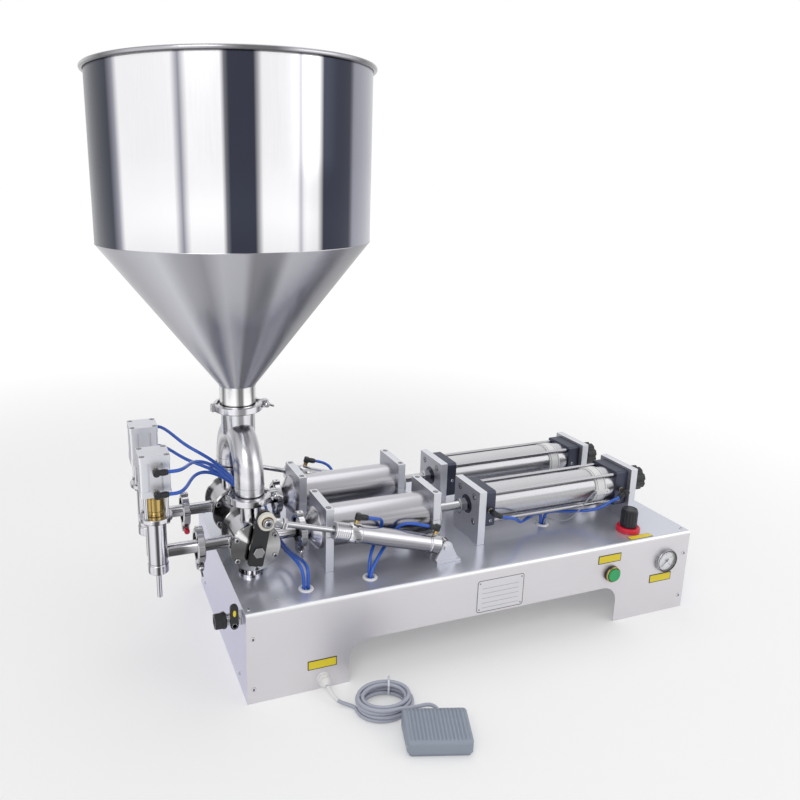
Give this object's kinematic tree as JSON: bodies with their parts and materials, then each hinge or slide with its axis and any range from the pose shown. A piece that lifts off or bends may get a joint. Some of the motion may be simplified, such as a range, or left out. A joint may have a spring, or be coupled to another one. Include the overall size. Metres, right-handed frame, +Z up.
{
  "type": "pneumatic piston paste filling machine",
  "caption": "Bench paste filler with a hopper, forked elbow, rotary valves turned by air links, material and air cylinders in line, drip nozzles and a foot pedal on a coiled cord.",
  "frame": {"origin": "on the floor below the hopper's axis, midway between the rows, on the left end panel's foot flange", "axes": "+X along the cabinet from the nozzles to the handwheels, +Y from the front panel to the back, +Z up"},
  "size_m": [1.0895, 0.6445, 1.0047],
  "materials": {
    "cabinet_sheet": "fine satin",
    "panel_labels": "printed film, plain",
    "polished_tube": "mirror polished stainless",
    "hopper_sheet": "rolled stainless, satin with bright bands",
    "satin_plate": "clear anodised, satin",
    "ground_tube": "ground stainless",
    "barrel_tube": "anodised, satin",
    "cap_slate": "dark anodised",
    "knob_black": "black, satin",
    "lever_black": "gloss black",
    "seal_white": "white",
    "gauge_white": "white face, clear lens",
    "needle_black": "matt",
    "button_green": "green",
    "regulator_red": "red collar, black knob",
    "bright_metal": "bright",
    "brass_spacer": "machined",
    "fitting_black": "black elbows on brass",
    "hose_blue": "polyurethane tube",
    "valve_slate": "anodised",
    "pedal_blue": "hammer grey-blue",
    "cord_grey": "pale grey sheath",
    "gland_white": "white nylon",
    "piston_face": "dark seal on a white body"
  },
  "bodies": {
    "machine": {"base_shell": "cabinet_sheet", "end_panels": "cabinet_sheet", "label_plates": "panel_labels", "gauge_case": "gauge_white", "button_bezel": "bright_metal", "regulator_body": "regulator_red", "inlet_valve": "bright_metal", "valve_block": "valve_slate", "deck_grommets": "seal_white", "hopper": "hopper_sheet", "manifold": "polished_tube", "tri_clamps": "polished_tube", "material_blocks": "satin_plate", "material_cylinders": "ground_tube", "air_mounts": "satin_plate", "air_caps": "cap_slate", "air_barrels": "barrel_tube", "reed_sensors": "seal_white", "front_valve_body": "polished_tube", "rear_valve_body": "polished_tube", "valve_covers": "polished_tube", "front_nozzle_body": "polished_tube", "rear_nozzle_body": "polished_tube", "nozzle_spacers": "brass_spacer", "nozzle_tips": "polished_tube", "nozzle_cylinders": "satin_plate", "actuator_brackets": "satin_plate", "air_fittings": "fitting_black", "air_hoses": "hose_blue", "front_actuator_hoses": "hose_blue", "rear_actuator_hoses": "hose_blue", "cord_glands": "gland_white", "cord_lead": "cord_grey", "cord_coil": "cord_grey", "cord_tail": "cord_grey", "pedal_base": "pedal_blue"},
    "gauge_hand": {"gauge_needle": "needle_black"},
    "start_button": {"button_cap": "button_green"},
    "regulator_dial": {"regulator_knob": "knob_black"},
    "shutoff": {"inlet_lever": "knob_black"},
    "pedal_tread": {"pedal_cover": "pedal_blue"},
    "front_valve": {"front_valve_rotor": "ground_tube", "front_valve_lever": "lever_black"},
    "front_link_rod": {"front_actuator_rod": "ground_tube"},
    "front_link_barrel": {"front_actuator_barrel": "barrel_tube"},
    "front_ram": {"front_piston": "piston_face", "front_piston_rod": "ground_tube"},
    "front_stop": {"front_stop_screw": "ground_tube"},
    "front_wheel": {"front_handwheel": "knob_black"},
    "front_needle_valve": {"front_plunger": "ground_tube"},
    "rear_valve": {"rear_valve_rotor": "ground_tube", "rear_valve_lever": "lever_black"},
    "rear_link_rod": {"rear_actuator_rod": "ground_tube"},
    "rear_link_barrel": {"rear_actuator_barrel": "barrel_tube"},
    "rear_ram": {"rear_piston": "piston_face", "rear_piston_rod": "ground_tube"},
    "rear_stop": {"rear_stop_screw": "ground_tube"},
    "rear_wheel": {"rear_handwheel": "knob_black"},
    "rear_needle_valve": {"rear_plunger": "ground_tube"}
  },
  "joints": [
    {"name": "gauge_hand_turn", "type": "hinge", "parent": "machine", "child": "gauge_hand", "pos_m": [0.803, -0.2046, 0.112], "axis": [0, 1, 0], "range_deg": [0, 270], "stiffness_Nm_per_rad": 0.0001},
    {"name": "start_button_press", "type": "slide", "parent": "machine", "child": "start_button", "axis": [0, 1, 0], "range_m": [0, 0.003], "stiffness_N_per_m": 300, "springref_m": -0.004},
    {"name": "regulator_dial_turn", "type": "hinge", "parent": "machine", "child": "regulator_dial", "pos_m": [0.743, -0.158, 0.19], "axis": [0, 0, 1], "range_deg": [0, 1440]},
    {"name": "shutoff_turn", "type": "hinge", "parent": "machine", "child": "shutoff", "pos_m": [-0.059, -0.193, 0.147], "axis": [0, -1, 0], "range_deg": [0, 90]},
    {"name": "pedal_press", "type": "hinge", "parent": "machine", "child": "pedal_tread", "pos_m": [0.20598, -0.39095, 0.011], "axis": [-0.9563, 0.2924, 0], "range_deg": [0, 4], "stiffness_Nm_per_rad": 6, "springref_deg": -4.58},
    {"name": "front_valve_turn", "type": "hinge", "parent": "machine", "child": "front_valve", "pos_m": [0, -0.073, 0.231], "axis": [0, 1, 0], "range_deg": [0, 45], "deforming": ["front_actuator_hoses"]},
    {"name": "front_rod_swing", "type": "hinge", "parent": "front_valve", "child": "front_link_rod", "pos_m": [0.01196, -0.138, 0.2898], "axis": [0, 1, 0], "range_deg": [-47.5, 0]},
    {"name": "front_actuator_slide", "type": "slide", "parent": "front_link_rod", "child": "front_link_barrel", "axis": [-0.9589, 0, 0.2836], "range_m": [0, 0.0446]},
    {"name": "front_ram_slide", "type": "slide", "parent": "machine", "child": "front_ram", "axis": [-1, 0, 0], "range_m": [0, 0.2]},
    {"name": "front_stop_slide", "type": "slide", "parent": "machine", "child": "front_stop", "axis": [1, 0, 0], "range_m": [0, 0.0201]},
    {"name": "front_wheel_turn", "type": "hinge", "parent": "front_stop", "child": "front_wheel", "pos_m": [0.823, -0.073, 0.231], "axis": [1, 0, 0], "range_deg": [0, 3600]},
    {"name": "front_plunger_lift", "type": "slide", "parent": "machine", "child": "front_needle_valve", "axis": [0, 0, 1], "range_m": [0, 0.012]},
    {"name": "rear_valve_turn", "type": "hinge", "parent": "machine", "child": "rear_valve", "pos_m": [0, 0.073, 0.231], "axis": [0, 1, 0], "range_deg": [0, 45], "deforming": ["rear_actuator_hoses"]},
    {"name": "rear_rod_swing", "type": "hinge", "parent": "rear_valve", "child": "rear_link_rod", "pos_m": [0.01196, 0.138, 0.2898], "axis": [0, 1, 0], "range_deg": [-47.5, 0]},
    {"name": "rear_actuator_slide", "type": "slide", "parent": "rear_link_rod", "child": "rear_link_barrel", "axis": [-0.9589, 0, 0.2836], "range_m": [0, 0.0446]},
    {"name": "rear_ram_slide", "type": "slide", "parent": "machine", "child": "rear_ram", "axis": [-1, 0, 0], "range_m": [0, 0.2]},
    {"name": "rear_stop_slide", "type": "slide", "parent": "machine", "child": "rear_stop", "axis": [1, 0, 0], "range_m": [0, 0.0201]},
    {"name": "rear_wheel_turn", "type": "hinge", "parent": "rear_stop", "child": "rear_wheel", "pos_m": [0.823, 0.073, 0.231], "axis": [1, 0, 0], "range_deg": [0, 3600]},
    {"name": "rear_plunger_lift", "type": "slide", "parent": "machine", "child": "rear_needle_valve", "axis": [0, 0, 1], "range_m": [0, 0.012]}
  ],
  "couplings": [
    {"joint": "front_rod_swing", "follows": "front_valve_turn", "ratio": -1.0441},
    {"joint": "front_actuator_slide", "follows": "front_valve_turn", "m_per_rad": 0.05656},
    {"joint": "front_stop_slide", "follows": "front_wheel_turn", "m_per_rad": 0.00031831},
    {"joint": "rear_rod_swing", "follows": "rear_valve_turn", "ratio": -1.0441},
    {"joint": "rear_actuator_slide", "follows": "rear_valve_turn", "m_per_rad": 0.05656},
    {"joint": "rear_stop_slide", "follows": "rear_wheel_turn", "m_per_rad": 0.00031831}
  ]
}
